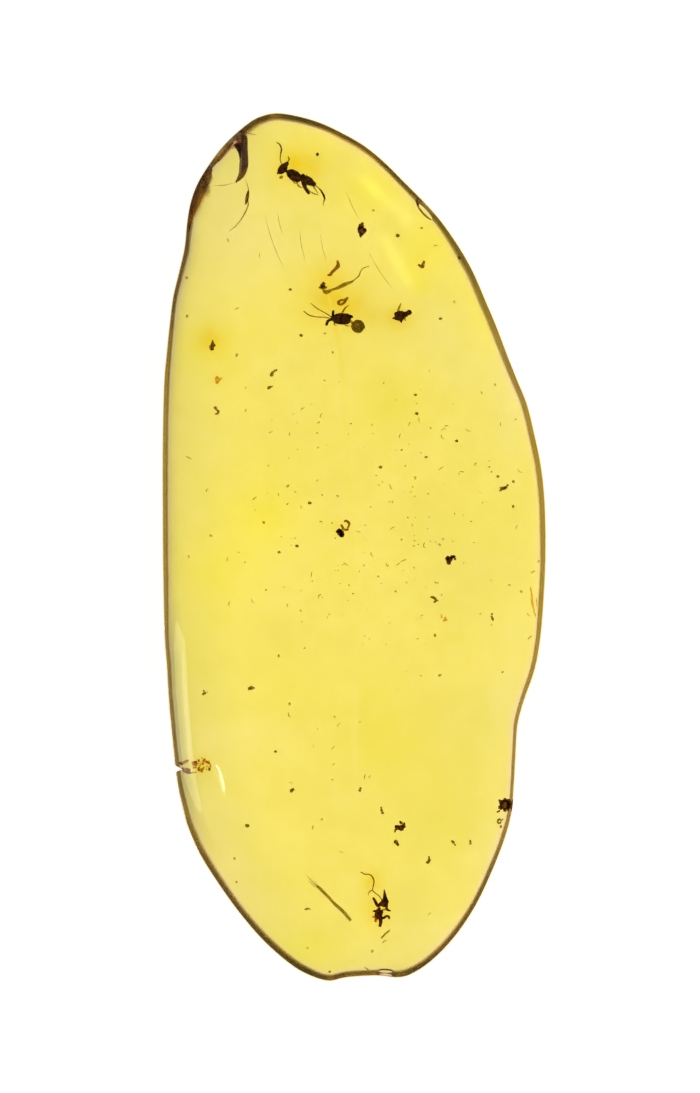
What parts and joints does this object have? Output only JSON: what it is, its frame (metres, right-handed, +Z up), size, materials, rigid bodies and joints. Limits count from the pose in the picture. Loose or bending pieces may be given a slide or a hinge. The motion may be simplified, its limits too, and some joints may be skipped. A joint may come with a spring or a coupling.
{
  "type": "insect in amber",
  "caption": "Polished slab of clear yellow amber with small insects and plant debris sealed in it, lying flat on its underside.",
  "frame": {"origin": "middle of the footprint on the flat underside", "axes": "+Y along the slab's length towards its narrow end, +Z up out of the crowned face, +X to the right seen from above"},
  "size_m": [0.0194, 0.0439, 0.0054],
  "materials": {
    "amber": "clear yellow amber, polished, with a darker rim",
    "cuticle": "brown-black insect cuticle",
    "red_cuticle": "reddish dark brown crumpled insect cuticle",
    "bark": "dark rotted bark and soil grains",
    "plant_fibre": "brown plant fibre",
    "orange_resin": "orange-brown oxidised resin crumbs"
  },
  "bodies": {
    "root": {"amber_lower": "amber", "amber_upper": "amber", "bark_cluster_at_edge": "bark", "bark_crumb_low": "bark", "bark_crumb_right": "bark", "bark_crumb_upper": "bark", "bent_loop": "plant_fibre", "crumb_low_left": "bark", "crumb_low_right": "bark", "crumb_low_right_upper": "bark", "crumb_lower_left": "bark", "crumb_lower_middle": "bark", "crumb_right_edge": "bark", "crumb_right_of_centre": "bark", "crumb_under_low_bark": "bark", "crumb_upper_left": "bark", "crumpled_insect": "red_cuticle", "curled_insect": "cuticle", "curved_fragment": "plant_fibre", "flake_three_cornered": "bark", "grain_above_low_crumb": "bark", "grain_below_antennae": "bark", "grain_centre_left_lower": "bark", "grain_centre_left_upper": "bark", "grain_centre_lower": "bark", "grain_centre_lowest": "bark", "grain_centre_upper": "bark", "grain_left_of_thread": "bark", "grain_low_right": "bark", "grain_lower_centre": "bark", "grain_lower_left_edge": "bark", "grain_lower_middle": "bark", "grain_middle": "bark", "grain_right_edge_lower": "bark", "grain_right_edge_upper": "bark", "grain_right_low": "bark", "grain_right_lower": "bark", "grain_right_middle": "bark", "grain_right_of_curled_insect": "bark", "grain_right_upper": "bark", "grain_under_cluster": "bark", "granule_beside_ring": "bark", "grit_above_profile_insect": "bark", "grit_upper_right": "bark", "insect_in_profile": "cuticle", "knobbed_stem_with_thread": "plant_fibre", "long_horned_insect": "cuticle", "orange_crumb_left": "orange_resin", "orange_crumb_patch": "orange_resin", "orange_crumb_right": "orange_resin", "plant_rod": "plant_fibre", "ring_shaped_bit": "plant_fibre", "s_shaped_bit": "plant_fibre", "splinter_left": "plant_fibre", "splinter_right": "plant_fibre", "thin_flake_at_edge": "orange_resin", "v_shaped_bit": "plant_fibre"}
  },
  "joints": []
}
